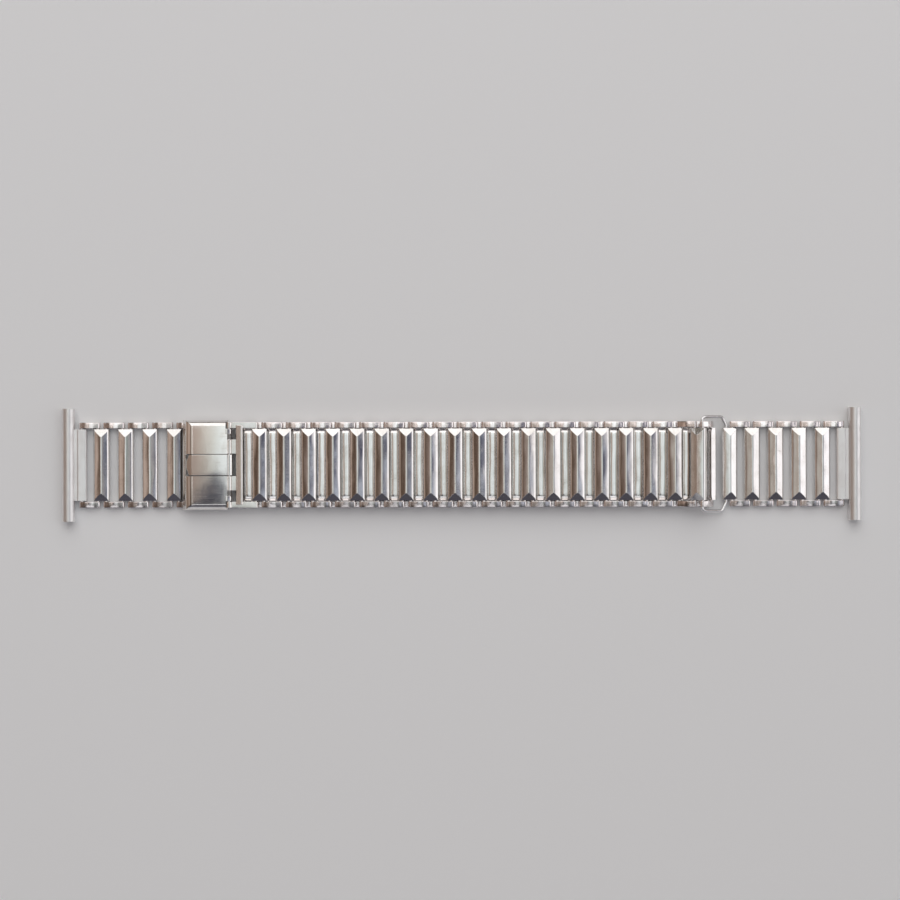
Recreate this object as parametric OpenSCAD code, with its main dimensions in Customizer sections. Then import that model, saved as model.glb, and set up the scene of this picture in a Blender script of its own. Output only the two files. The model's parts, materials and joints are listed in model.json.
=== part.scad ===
// Ladder watch bracelet with a fold-over adjusting clasp, lying flat and closed.
// X runs along the strap, Y across it and Z up. The bracelet stands on Z = 0, centred on X and Y.
// The long ladder leaves the clasp on top, folds round inside the wire ring, and comes back
// underneath with its backs up, to a hook under the clasp.

/* [Bars] */
// Width of a bar along the strap
bar_w = 2.55; // [2.4:0.01:2.7]
// Thickness of a bar, from the crown of its back to its ridge
bar_t = 1.65; // [1.6:0.01:1.8]
// Length of a bar across the strap
bar_len = 11.4; // [9:0.1:14]
// How far the back bulges between its long edges
back_bulge = 0.3; // [0.2:0.01:0.35]
// Height of the roof above the side walls
roof_h = 0.45; // [0.35:0.01:0.49]
// Length of the hip at each end of the roof
hip_len = 1.25; // [0.8:0.05:2]
// Rounding of the back at the bar's ends
back_end_r = 0.45; // [0.2:0.05:0.6]
// Sheet beside the hollow
bar_wall = 0.2; // [0.15:0.01:0.25]
// Sheet between the hollow and the crown of the back
bar_floor = 0.25; // [0.2:0.01:0.29]

/* [Loops] */
// Diameter of the cross wires
wire_d = 0.55; // [0.5:0.01:0.58]
// Distance between the two cross wires of a loop
wire_span = 2.56; // [2.5:0.01:2.7]
// Thickness of a side plate
plate_t = 0.97; // [0.6:0.01:1.1]
// Height of a side plate at its middle
plate_h = 1.4; // [1.1:0.01:1.45]
// Radius of a side plate's round ends
plate_end_r = 0.42; // [0.36:0.01:0.45]
// Gap between a bar's end and a side plate
side_gap = 0.13; // [0.08:0.01:0.2]
// Play of a wire above and below the middle of a bar's hollow
lift_play = 0.175; // [0.16:0.005:0.19]
// Play beside a wire at the end of the hollow, in a taut ladder
taut_play = 0.14; // [0.1:0.01:0.2]
// The same in the right ladder, which lies slack
slack_play = 0.21; // [0.1:0.01:0.3]
// The same where the inner run is pulled by the fold
fold_play = 0.08; // [0.07:0.01:0.14]

/* [Ladders] */
// Bars of the left ladder
left_bars = 4; // [1:1:8]
// Flat-lying bars of the long ladder's outer run
outer_bars = 18; // [6:1:22]
// Bars of the right ladder
right_bars = 5; // [1:1:9]
// How far the backs of the two runs reach past each other
run_lap = 0.216; // [0.1:0.01:0.25]
// Lean of the turn bar against the line of its two wires, degrees
turn_lean = 8; // [0:1:9]
// Distance between the two wires in the turn bar
turn_pins = 1.02; // [0.95:0.01:1.1]

/* [Ring] */
// Wire of the ring
ring_d = 0.5; // [0.4:0.01:0.62]
// Length of the ring between its cross wires
ring_len = 4.13; // [4:0.01:4.4]
// Bend radius of the ring's corners
ring_bend = 0.5; // [0.4:0.05:0.6]
// Clearance between the ring's sides and the side plates
ring_gap = 0.45; // [0.15:0.01:0.5]
// Clearance between the ring's wire and the side plates of the lower turn loop
ring_lift = 0.06; // [0.05:0.01:0.12]

/* [End tubes] */
// Width between the watch's lugs
lug_w = 18; // [16:0.5:22]
// Bore of the tube, for a 1.5 mm spring bar
tube_bore_d = 1.6; // [1.5:0.05:1.7]
// Wall of the tube
tube_wall = 0.22; // [0.15:0.01:0.3]
// Thickness of the clamped tab
tab_t = 1.15; // [1:0.05:1.3]
// Distance from the tube's axis to the wire in the tab
tab_reach = 2.03; // [1.9:0.01:2.4]
// Tab beyond its wire
tab_lip = 0.87; // [0.6:0.01:1.1]

/* [Clasp] */
// Radial clearance of the wires in snug bores
fit = 0.05; // [0.02:0.01:0.08]
// Distance from the base's ladder wire to the hinge wire
base_len = 5.62; // [5.4:0.01:6.2]
// Sheet of the base
base_t = 0.25; // [0.2:0.01:0.3]
// Clearance between the tail and the base above it
base_gap = 0.07; // [0.05:0.01:0.15]
// Diameter of the hinge wire
hinge_d = 0.4; // [0.35:0.01:0.45]
// Outer radius of the hinge knuckles
knuckle_r = 0.42; // [0.38:0.01:0.45]
// Height of the hinge knuckles above the base's plate
hinge_rise = 0.21; // [0.15:0.01:0.3]
// Side clearance between neighbouring knuckles
knuckle_gap = 0.06; // [0.04:0.01:0.1]
// Width of each base knuckle and of each lid knuckle
knuckle_w = 0.76; // [0.6:0.01:0.8]
// Height of the lid's top above the hinge wire
lid_rise = 0.68; // [0.64:0.01:0.75]
// Sheet of the lid's top
lid_t = 0.28; // [0.2:0.01:0.3]
// Sheet of the lid's sides
lid_wall = 0.22; // [0.18:0.01:0.3]
// Clearance between the ladder and the lid's sides
lid_gap = 0.11; // [0.08:0.01:0.2]
// Length of the lid left of the hinge wire
lid_len = 7.45; // [7.3:0.01:7.8]
// Distance from the hinge wire to the lid's right edge
lid_back = 0.22; // [0.1:0.01:0.3]
// Radius of the lid's rolled nose
nose_r = 1.78; // [1.4:0.01:1.9]
// Radius of the bends between the lid's top and its sides
lid_bend_r = 0.9; // [0.6:0.05:1]
// Height of the lid's side rims above the table
lid_rim = 1; // [0.8:0.05:1.3]
// Height of the lid's front lip above the table
lid_lip = 2; // [1.9:0.05:2.2]
// Half the width of the tongue
tongue_half = 1.65; // [1.4:0.01:1.8]
// Clearance round the tongue in the lid's slot
slot_gap = 0.07; // [0.05:0.01:0.12]
// Thickness of the tongue
tongue_t = 0.45; // [0.4:0.01:0.5]
// Radius of the tongue's hinge knuckle
tongue_knuckle_r = 0.6; // [0.5:0.01:0.62]
// Distance from the tongue's tip to the lid's nose
tongue_back = 0.67; // [0.6:0.01:0.9]
// Half the width of the hook under the tongue
hook_half = 1.1; // [0.8:0.05:1.3]
// Thickness of the hook
hook_t = 0.43; // [0.35:0.01:0.5]
// Height of the hook's tip above the table
hook_tip = 0.45; // [0.3:0.05:0.6]
// Distance from the hinge wire to the cross wire of the end link
link_len = 4.17; // [4.1:0.01:4.4]
// Width of the end link's sleeve along the strap
sleeve_w = 1.15; // [1:0.01:1.2]
// Height of the end link's sleeve
sleeve_h = 1.1; // [0.9:0.05:1.2]

/* [Hidden] */
$fn = 64;
over = 0.5;

// Levels of the wires: single ladders lie on their backs, and the inner run lies on its ridges.
wire_r = wire_d / 2;
ring_r = ring_d / 2;
hinge_r = hinge_d / 2;
hollow_r = wire_r + lift_play;
hollow_x = bar_w / 2 - bar_wall - hollow_r;
waist_step = 0.02;
wire_z = bar_floor + hollow_r;
inner_z = bar_t - wire_z;
outer_back = bar_t - run_lap;
outer_z = outer_back + wire_z;

// The bar's back is an arc, and its roof starts at the eaves.
back_r = (pow(back_bulge, 2) + pow(bar_w / 2, 2)) / (2 * back_bulge);
eaves_z = bar_t - roof_h;

// A side plate is a lens between two round ends.
plate_step = 0.01;
plate_sag = plate_h / 2 - plate_end_r + plate_step;
plate_edge_r = (pow(plate_sag, 2) + pow(wire_span / 2, 2)) / (2 * plate_sag);
plate_y = bar_len / 2 + side_gap + plate_t / 2;
ladder_half = bar_len / 2 + side_gap + plate_t;

// Places of the wires in a bar, left and right of its middle, and the pitch that follows.
end_pin = bar_w / 2 - bar_wall - wire_r;
taut_pin = end_pin - taut_play;
slack_pin = end_pin - slack_play;
fold_pin = end_pin - fold_play;
taut_pitch = wire_span + 2 * taut_pin;
slack_pitch = wire_span + 2 * slack_pin;

// The ring slopes from the inside of the fold down to the right ladder's first bar.
ring_ahead = 0.365;
ring_pin = 0.35;
ring_flare_in = 0.3;
ring_flare_x = 0.5;
ring_taper_in = 1.3;
ring_taper_x = 3.45;
ring_joint = 0.05;
ring_bend_step = 0.008;
ring_z = inner_z + plate_h / 2 + ring_r + ring_lift;
ring_slope = asin((ring_z - wire_z) / ring_len);
ring_run = ring_len * cos(ring_slope);

// Stretches of the bracelet between the axes of its end tubes.
tube_r = tube_bore_d / 2 + tube_wall;
left_run = tab_reach + wire_span + left_bars * taut_pitch;
clasp_run = base_len + link_len;
double_run = taut_pin + (outer_bars - 1) * taut_pitch + taut_pitch / 2;
fold_run = fold_pin + wire_span / 2 + ring_ahead + ring_run + ring_pin;
right_run = (right_bars - 1) * slack_pitch + slack_pin + wire_span + tab_reach;
axis_x = (left_run + clasp_run + double_run + fold_run + right_run) / 2;

// Places along the strap.
base_wire_x = left_run - axis_x;
hinge_x = base_wire_x + base_len;
link_wire_x = hinge_x + link_len;
function left_bar_x(i) = tab_reach + wire_span + taut_pin + (i - 1) * taut_pitch - axis_x;
function outer_x(k) = link_wire_x + taut_pin + (k - 1) * taut_pitch;
function inner_x(k) = outer_x(k) + taut_pitch / 2;
ring_x = inner_x(outer_bars) + fold_pin + wire_span / 2 + ring_ahead;
ring_end_x = ring_x + ring_run;
function right_bar_x(i) = ring_end_x + ring_pin + (i - 1) * slack_pitch;
tail_wire_x = inner_x(-1) - taut_pin - wire_span;

// The fold is a closed chain in side view. Each point is where two distances meet, on the
// left of the line from the first point to the second.
function meet(p, q, rp, rq) =
    let (d = norm(q - p), a = (d * d + rp * rp - rq * rq) / (2 * d), u = (q - p) / d)
    p + a * u + sqrt(rp * rp - a * a) * [-u[1], u[0]];
function heading(p, q) = atan2(q[1] - p[1], q[0] - p[0]);
turn_stretch = 0.86;
rise_start = [outer_x(outer_bars) + taut_pin, outer_z];
turn_low = [inner_x(outer_bars) + fold_pin + wire_span, inner_z];
fold_top = meet(rise_start, turn_low, taut_pitch, turn_stretch * (wire_span + turn_pins));
turn_high = meet(fold_top, turn_low, wire_span, turn_pins);
rise = heading(rise_start, fold_top);
fall = heading(fold_top, turn_high);
rise_wire = rise_start + wire_span * [cos(rise), sin(rise)];
raised_mid = (rise_wire + fold_top) / 2;
turn_tilt = heading(turn_low, turn_high) - 180 + turn_lean;
turn_pin = 0.42;
turn_mid = turn_high + turn_pin * [cos(turn_tilt), sin(turn_tilt)];

// Levels and places in the clasp.
base_z = bar_t + base_gap;
base_top = base_z + base_t;
rail_t = 0.25;
base_half = ladder_half - rail_t;
rail_h = 0.7;
rail_back = 0.6;
base_knuckle_r = 0.5;
web_t = 0.25;
web_in = 0.03;
base_front = 0.95;
base_back = 0.45;
hinge_z = base_top + hinge_rise + knuckle_r;
lid_half = ladder_half + lid_gap + lid_wall;
lid_top = hinge_z + lid_rise;
lid_left = hinge_x - lid_len;
lid_right = hinge_x - lid_back;
arm_gap = 0.08;
hook_play = 0.03;
window_play = 0.1;
window_back = 0.3;
hook_start = 174;
hook_r = norm([tail_wire_x - hinge_x, inner_z - hinge_z]) - wire_r - hook_play;
tip_bevel = 0.9;
tip_drop = 0.55;
tip_corner = 0.45;

// Knuckles along the hinge wire, from the middle outwards.
finger_in = tongue_half + 2 * knuckle_gap;
lid_knuckle_y = (bar_len - knuckle_w) / 2;
base_knuckle_y = lid_knuckle_y - knuckle_w - knuckle_gap;
finger_out = base_knuckle_y - knuckle_w / 2 - knuckle_gap;
sleeve_back = 3.1;
sleeve_rise = 0.416;
sleeve_x = link_wire_x - sleeve_back + sleeve_w / 2;
sleeve_z = outer_back + sleeve_rise;
sleeve_round = 0.3;
band_h = 0.4;

function two(n) = str(n < 10 ? "0" : "", n);
function link_name(k) = str("double_link_", two(k));

// Points of an arc for a polygon.
function arc(mid, r, from, to, steps) =
    [for (i = [0:steps]) let (a = from + (to - from) * i / steps) mid + r * [cos(a), sin(a)]];

// Extrudes a section drawn in X and Z along Y.
module along_y(length) {
    rotate([90, 0, 0]) linear_extrude(height = length, center = true) children();
}

// Extrudes a section drawn in Y and Z along X.
module along_x(length) {
    rotate([90, 0, 90]) linear_extrude(height = length, center = true) children();
}

// Puts a piece at a point of the side view, turned up at its right end.
module seat(x, z, up = 0) {
    translate([x, 0, z]) rotate([0, -up, 0]) children();
}

// Section across a bar: rounded back, side walls and roof.
module bar_section() {
    intersection() {
        translate([0, back_r]) circle(back_r);
        polygon([[-bar_w / 2, 0], [bar_w / 2, 0], [bar_w / 2, eaves_z], [0, bar_t], [-bar_w / 2, eaves_z]]);
    }
}

// Outline of a bar seen along the strap: hips at the top, rounded ends below.
module bar_outline() {
    end = bar_len / 2;
    polygon(concat(
        arc([end - back_end_r, back_end_r], back_end_r, -90, 0, 4),
        [[end, eaves_z], [end - hip_len, bar_t], [hip_len - end, bar_t], [-end, eaves_z]],
        arc([back_end_r - end, back_end_r], back_end_r, 180, 270, 4)));
}

// Hollow of a bar, where two wires lie side by side with play.
module hollow_section() {
    for (side = [-1, 1]) translate([side * hollow_x, 0]) circle(hollow_r);
    square([2 * hollow_x, 2 * (hollow_r - waist_step)], center = true);
}

// A bar on its back, its crown on the origin.
module bar() {
    difference() {
        intersection() {
            along_y(bar_len + over) bar_section();
            along_x(bar_w + over) bar_outline();
        }
        seat(0, wire_z) along_y(bar_len + over) hollow_section();
    }
}

// A bar on its ridge, as in the inner run.
module inner_bar() {
    translate([0, 0, bar_t]) mirror([0, 0, 1]) bar();
}

// Side plate of a loop, from the left wire to the right one.
module plate_section() {
    for (x = [0, wire_span]) translate([x, 0]) circle(plate_end_r);
    intersection() {
        translate([wire_span / 2, plate_edge_r - plate_h / 2]) circle(plate_edge_r);
        translate([wire_span / 2, plate_h / 2 - plate_edge_r]) circle(plate_edge_r);
        translate([0, -plate_h]) square([wire_span, 2 * plate_h]);
    }
}

// A loop: two side plates and two cross wires, its left wire on the origin.
module wire_loop() {
    for (side = [-1, 1]) translate([0, side * plate_y, 0]) along_y(plate_t) plate_section();
    for (x = [0, wire_span]) seat(x, 0) along_y(2 * plate_y) circle(wire_r);
}

// End tube with its tab, the tube's axis on the origin and the tab to the right.
module end_tube() {
    wire_drop = wire_z - tube_r;
    tab_end = tab_reach + tab_lip;
    low = wire_drop - tab_t / 2;
    high = wire_drop + tab_t / 2;
    bevel = 0.25;
    difference() {
        union() {
            along_y(lug_w) circle(tube_r);
            along_y(bar_len) polygon([
                [0, low], [tab_end - bevel, low], [tab_end, low + bevel],
                [tab_end, high - bevel], [tab_end - bevel, high], [0, high]]);
        }
        along_y(lug_w + over) circle(tube_bore_d / 2);
        seat(tab_reach, wire_drop) along_y(bar_len + over) circle(wire_r + fit);
    }
}

// Both sides of the hinge line, for pieces that come in pairs.
module pair(y) {
    for (side = [-1, 1]) translate([0, side * y, 0]) children();
}

// Base of the clasp: a plate with side rails, rolled round the left ladder's last wire.
module clasp_base() {
    left = base_wire_x - base_front;
    length = hinge_x - base_back - left;
    web_x = base_wire_x - base_knuckle_r + web_in;
    color("silver") difference() {
        union() {
            translate([left, -base_half, base_z]) cube([length, 2 * base_half, base_t]);
            pair(base_half - rail_t / 2) translate([left + rail_back, -rail_t / 2, base_z])
                cube([length - rail_back, rail_t, base_t + rail_h]);
            seat(base_wire_x, wire_z) along_y(bar_len) circle(base_knuckle_r);
            translate([web_x, -bar_len / 2, wire_z]) cube([web_t, bar_len, base_top - wire_z]);
            pair(base_knuckle_y) {
                seat(hinge_x, hinge_z) along_y(knuckle_w) circle(knuckle_r);
                translate([hinge_x - base_back - web_t, -knuckle_w / 2, base_z])
                    cube([web_t + knuckle_r, knuckle_w, base_t]);
                translate([hinge_x - base_back, -knuckle_w / 2, base_z])
                    cube([web_t, knuckle_w, hinge_z - base_z]);
            }
        }
        seat(base_wire_x, wire_z) along_y(bar_len + over) circle(wire_r + fit);
        seat(hinge_x, hinge_z) along_y(2 * ladder_half) circle(hinge_r + fit);
        translate([hinge_x - hook_r - window_play, -hook_half - window_play, base_z - over])
            cube([hook_t + window_play + window_back, 2 * (hook_half + window_play), base_t + 2 * over]);
    }
}

module hinge_wire() {
    color("gainsboro") seat(hinge_x, hinge_z) along_y(2 * ladder_half) circle(hinge_r);
}

// Side view of the lid, drawn in by a sheet for its inside.
module lid_profile(inset, back, down) {
    mid = [lid_left + nose_r, lid_top - nose_r];
    polygon(concat(
        [[lid_right + back, lid_rim - down], [lid_right + back, lid_top - inset]],
        arc(mid, nose_r - inset, 90, 180, 9),
        [[lid_left + inset, lid_rim - down]]));
}

// The lid seen along the strap, drawn in by its walls for its inside.
module lid_cross(inset, wall, down) {
    half = lid_half - wall;
    r = lid_bend_r - inset;
    polygon(concat(
        [[half, lid_rim - down]],
        arc([half - r, lid_top - inset - r], r, 0, 90, 6),
        arc([r - half, lid_top - inset - r], r, 90, 180, 6),
        [[-half, lid_rim - down]]));
}

// Lid: pressed sheet with turned-down sides, a rolled nose, a slot and two knuckles.
module clasp_lid() {
    mid_x = (lid_left + lid_right) / 2;
    slot_half = tongue_half + slot_gap;
    slot_x = lid_left + tongue_back - slot_gap;
    color("gainsboro") difference() {
        union() {
            difference() {
                intersection() {
                    along_y(2 * lid_half + over) lid_profile(0, 0, 0);
                    translate([mid_x, 0, 0]) along_x(lid_len + over) lid_cross(0, 0, 0);
                }
                intersection() {
                    along_y(2 * lid_half) lid_profile(lid_t, over, over);
                    translate([mid_x, 0, 0]) along_x(lid_len + 2 * over) lid_cross(lid_t, lid_wall, over);
                }
                translate([lid_left - over, lid_wall - lid_half, 0])
                    cube([2 * over, 2 * (lid_half - lid_wall), lid_lip]);
                translate([slot_x, -slot_half, lid_lip]) cube([lid_len, 2 * slot_half, lid_top]);
                pair(plate_y) translate([hinge_x - knuckle_r - arm_gap, -plate_t / 2 - arm_gap, lid_rim])
                    cube([lid_len, plate_t + 2 * arm_gap, lid_top]);
            }
            pair(lid_knuckle_y) {
                seat(hinge_x, hinge_z) along_y(knuckle_w) circle(knuckle_r);
                along_y(knuckle_w) polygon([
                    [lid_right - lid_t, hinge_z], [hinge_x, hinge_z], [hinge_x, hinge_z + knuckle_r + web_in],
                    [lid_right, lid_top - web_in], [lid_right - lid_t, lid_top - web_in]]);
            }
        }
        seat(hinge_x, hinge_z) along_y(2 * lid_half) circle(hinge_r + fit);
    }
}

// Tongue: a lever in the lid's slot, with a bevelled tip and a hook that swings about the hinge.
module tongue() {
    tip = lid_left + tongue_back;
    under = lid_top - tongue_t;
    hook_end = 180 + asin((hinge_z - hook_tip) / hook_r);
    color("gainsboro") difference() {
        union() {
            intersection() {
                along_y(2 * tongue_half) polygon([
                    [tip, lid_top - tip_drop], [tip + tip_bevel, lid_top], [hinge_x - lid_back, lid_top],
                    [hinge_x, hinge_z + tongue_knuckle_r - web_in], [hinge_x, under],
                    [tip + tip_bevel / 2, under]]);
                linear_extrude(lid_top + over) polygon([
                    [tip + tip_corner, -tongue_half], [hinge_x, -tongue_half], [hinge_x, tongue_half],
                    [tip + tip_corner, tongue_half], [tip, tip_corner], [tip, -tip_corner]]);
            }
            seat(hinge_x, hinge_z) along_y(2 * tongue_half) circle(tongue_knuckle_r);
            seat(hinge_x, hinge_z) along_y(2 * hook_half) intersection() {
                difference() {
                    circle(hook_r, $fn = 128);
                    circle(hook_r - hook_t, $fn = 128);
                }
                polygon(concat([[0, 0]], arc([0, 0], hook_r + over, hook_start, hook_end, 2)));
            }
        }
        seat(hinge_x, hinge_z) along_y(2 * ladder_half) circle(hinge_r + fit);
    }
}

// End link: fingers and side arms on the hinge wire, a sleeve across, and the first cross wire.
module end_link() {
    finger_w = finger_out - finger_in;
    color("gainsboro") difference() {
        union() {
            pair((finger_in + finger_out) / 2) along_y(finger_w) {
                translate([hinge_x, hinge_z]) circle(knuckle_r);
                translate([hinge_x, hinge_z - knuckle_r]) square([sleeve_x - hinge_x, band_h]);
            }
            pair(plate_y) along_y(plate_t) {
                translate([hinge_x, hinge_z]) circle(knuckle_r);
                translate([link_wire_x, outer_z]) circle(plate_end_r);
                polygon([
                    [hinge_x, hinge_z - knuckle_r], [link_wire_x, outer_z - band_h / 2],
                    [link_wire_x, outer_z + band_h / 2], [hinge_x, hinge_z - knuckle_r + band_h]]);
            }
            seat(sleeve_x, sleeve_z) along_y(2 * plate_y) sleeve_section();
            seat(link_wire_x, outer_z) along_y(2 * plate_y) circle(wire_r);
        }
        seat(hinge_x, hinge_z) along_y(2 * ladder_half + over) circle(hinge_r + fit);
    }
}

// Section of the sleeve, rounded on top.
module sleeve_section() {
    half = sleeve_w / 2;
    polygon(concat(
        [[half, 0]],
        arc([half - sleeve_round, sleeve_h - sleeve_round], sleeve_round, 0, 90, 4),
        arc([sleeve_round - half, sleeve_h - sleeve_round], sleeve_round, 90, 180, 4),
        [[-half, 0]]));
}

module tail_bar() {
    color("silver") seat(inner_x(-1), 0) inner_bar();
}

module tail_loop() {
    color("gainsboro") seat(tail_wire_x, inner_z) wire_loop();
}

// Bar and loop of the inner run, the loop on the bar's left.
module inner_link(k) {
    color("darkgray") seat(inner_x(k), 0) inner_bar();
    color("gainsboro") seat(inner_x(k - 1) + taut_pin, inner_z) wire_loop();
}

// One step of the doubled ladder: bar and loop of the outer run over bar and loop of the inner run.
module double_link(k) {
    up = k == outer_bars ? rise : 0;
    color("silver") seat(outer_x(k), outer_back) bar();
    color("gainsboro") seat(outer_x(k) + taut_pin, outer_z, up) wire_loop();
    inner_link(k);
}

module raised_bar() {
    color("silver") seat(raised_mid[0], raised_mid[1], rise) translate([0, 0, -wire_z]) bar();
}

// Loops that lead down into the turn bar and back out of it.
module turn_loops() {
    color("gainsboro") {
        seat(fold_top[0], fold_top[1], fall) wire_loop();
        seat(turn_low[0] - wire_span, inner_z) wire_loop();
    }
}

module turn_bar() {
    color("silver") seat(turn_mid[0], turn_mid[1], turn_tilt) translate([0, 0, -wire_z]) bar();
}

// The wire ring, in its own slope: straight wires between round bends, which are a hair thicker.
module wire_ring() {
    side_y = ladder_half + ring_gap + ring_r;
    half = [
        [0, side_y - ring_flare_in],
        [ring_flare_x, side_y],
        [ring_taper_x, side_y],
        [ring_len, side_y - ring_taper_in]];
    corners = concat(half, [for (i = [3:-1:0]) [half[i][0], -half[i][1]]]);
    last = len(corners) - 1;
    heads = [for (i = [0:last]) heading(corners[i], corners[i == last ? 0 : i + 1])];
    turns = [for (i = [0:last]) (heads[i == 0 ? last : i - 1] - heads[i] + 360) % 360];
    cuts = [for (i = [0:last]) ring_bend * tan(turns[i] / 2)];
    color("gainsboro") seat(ring_x, ring_z, -ring_slope) for (i = [0:last]) {
        next = i == last ? 0 : i + 1;
        length = norm(corners[next] - corners[i]) - cuts[i] - cuts[next];
        translate(corners[i]) rotate([0, 0, heads[i]]) {
            translate([cuts[i] - ring_joint, 0, 0]) rotate([0, 90, 0])
                cylinder(h = length + 2 * ring_joint, r = ring_r);
            translate([cuts[i], -ring_bend, 0]) rotate([0, 0, 90]) rotate_extrude(angle = turns[i])
                translate([ring_bend, 0]) circle(ring_r + ring_bend_step);
        }
    }
}

module right_bar(i) {
    color("silver") seat(right_bar_x(i), 0) bar();
}

module right_loop(i) {
    color("gainsboro") seat(right_bar_x(i) + slack_pin, wire_z) wire_loop();
}

module right_end_tube() {
    color("lightgray") seat(axis_x, tube_r) mirror([1, 0, 0]) end_tube();
}

module left_bar(i) {
    color("silver") seat(left_bar_x(i), 0) bar();
}

module left_loop(i) {
    color("gainsboro") seat(left_bar_x(i) - taut_pin - wire_span, wire_z) wire_loop();
}

module left_end_tube() {
    color("lightgray") seat(-axis_x, tube_r) end_tube();
}

clasp_base();
hinge_wire();
tail_bar();
tail_loop();
clasp_lid();
tongue();
end_link();
inner_link(0);  // inner_link_00
for (k = [1:outer_bars]) double_link(k);
raised_bar();
turn_loops();
turn_bar();
wire_ring();
for (i = [1:right_bars]) right_bar(i);
for (i = [1:right_bars]) right_loop(i);
right_end_tube();
for (i = [1:left_bars]) left_bar(i);
for (i = [1:left_bars + 1]) left_loop(i);
left_end_tube();
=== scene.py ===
"""Ladder watch bracelet with a fold-over adjusting clasp, dressed over its CAD frame.

The bracelet's sizes and places are in millimetres. The table, lamp and camera are in metres.
"""
import json
import math
import random

import bmesh
import bpy
from mathutils import Matrix, Vector


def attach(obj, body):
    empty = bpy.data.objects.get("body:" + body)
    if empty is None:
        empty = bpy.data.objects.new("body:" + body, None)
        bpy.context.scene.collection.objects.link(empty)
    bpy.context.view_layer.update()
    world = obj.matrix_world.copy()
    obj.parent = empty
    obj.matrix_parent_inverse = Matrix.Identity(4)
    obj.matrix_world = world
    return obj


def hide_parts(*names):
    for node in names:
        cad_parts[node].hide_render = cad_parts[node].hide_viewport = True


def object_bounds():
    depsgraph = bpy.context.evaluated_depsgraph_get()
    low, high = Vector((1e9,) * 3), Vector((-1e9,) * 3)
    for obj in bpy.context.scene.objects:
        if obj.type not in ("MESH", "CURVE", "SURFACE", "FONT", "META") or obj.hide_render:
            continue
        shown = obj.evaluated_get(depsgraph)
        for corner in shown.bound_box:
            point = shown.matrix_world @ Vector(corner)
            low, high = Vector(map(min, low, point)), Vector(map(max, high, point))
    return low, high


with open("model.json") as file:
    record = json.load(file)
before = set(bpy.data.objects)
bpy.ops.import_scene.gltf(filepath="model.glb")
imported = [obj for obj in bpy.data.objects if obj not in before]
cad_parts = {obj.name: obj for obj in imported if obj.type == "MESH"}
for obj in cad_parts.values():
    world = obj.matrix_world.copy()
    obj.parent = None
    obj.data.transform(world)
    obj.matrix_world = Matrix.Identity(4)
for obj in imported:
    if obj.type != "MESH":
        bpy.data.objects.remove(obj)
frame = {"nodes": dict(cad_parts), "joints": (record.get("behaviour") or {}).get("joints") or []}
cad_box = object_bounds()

# The bars of the single ladders.
# Each bar is a strip of stainless steel, folded into a flat tube with a roof for its face and a
# rounded back, pressed to a hip at both ends and polished. The wires of the loops hold it.
MM = 0.001
bar_width = 2.55
bar_height = 1.65
bar_length = 11.4
wire_height = 0.7
ridge_round = 0.16
ridge_bevel = 0.12
face_bow = 0.018
eaves_height = 1.2
eaves_round = 0.5
hip_length = 1.25
back_bulge = 0.3
back_end_run = 1.1
back_end_radius = 4.0
scratch_depth = 0.06
scratch_rough = 0.12


class Signal:
    """A socket in a material's node tree. Arithmetic on it adds the Math nodes."""

    def __init__(self, tree, socket=None):
        self.tree = tree
        self.socket = socket

    def node(self, kind, settings=None, output=0, **inputs):
        """Adds a node: its settings first, then its sockets by name, or by number as i0, i1."""
        made = self.tree.nodes.new(f"ShaderNode{kind}")
        for key, value in (settings or {}).items():
            if key == "stops":
                ramp = made.color_ramp.elements
                while len(ramp) < len(value):
                    ramp.new(1.0)
                for stop, (place, colour) in zip(ramp, value):
                    stop.position = place
                    stop.color = (*colour, 1.0)
            else:
                setattr(made, key, value)
        for key, value in inputs.items():
            name = int(key[1:]) if key[1:].isdigit() else key.replace("_", " ")
            if isinstance(value, Signal):
                self.tree.links.new(value.socket, made.inputs[name])
            else:
                made.inputs[name].default_value = value
        return Signal(self.tree, made.outputs[output])

    def math(self, operation, first, second=0.0):
        """A Math node on two values."""
        return self.node("Math", {"operation": operation}, i0=first, i1=second)

    def __add__(self, other):
        return self.math("ADD", self, other)

    def __sub__(self, other):
        return self.math("SUBTRACT", self, other)

    def __rsub__(self, other):
        return self.math("SUBTRACT", other, self)

    def __mul__(self, other):
        return self.math("MULTIPLY", self, other)

    __radd__ = __add__
    __rmul__ = __mul__

    def between(self, low, high):
        """0 below low, 1 above high, and a soft step between them."""
        return self.node("MapRange", {"interpolation_type": "SMOOTHSTEP"},
                         Value=self, From_Min=low, From_Max=high)

    def inside(self, low, full_from, full_to, high):
        """1 from full_from to full_to, 0 below low and above high, with a soft step at each side."""
        return self.between(low, full_from) * (self * -1.0).between(-high, -full_to)

    def blend(self, first, second):
        """The first colour where this signal is 0, and the second where it is 1."""
        ends = [end if isinstance(end, Signal) else (*end, 1.0) for end in (first, second)]
        return self.node("Mix", {"data_type": "RGBA"}, output=2, i0=self, i6=ends[0], i7=ends[1])

    def scaled(self, factor):
        """This vector or colour times a number."""
        return self.node("VectorMath", {"operation": "SCALE"}, i0=self, Scale=factor)

    def parts(self):
        """The three numbers of this vector."""
        apart = self.node("SeparateXYZ", i0=self)
        return [Signal(self.tree, number) for number in apart.socket.node.outputs]

    def noise(self, stretch, detail=3.0, roughness=0.55):
        """Noise on this vector, with its frequency per millimetre on each axis."""
        spread_out = self.node("VectorMath", {"operation": "MULTIPLY"}, i0=self, i1=stretch)
        return self.node("TexNoise", Vector=spread_out, Scale=1.0, Detail=detail, Roughness=roughness)


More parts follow.
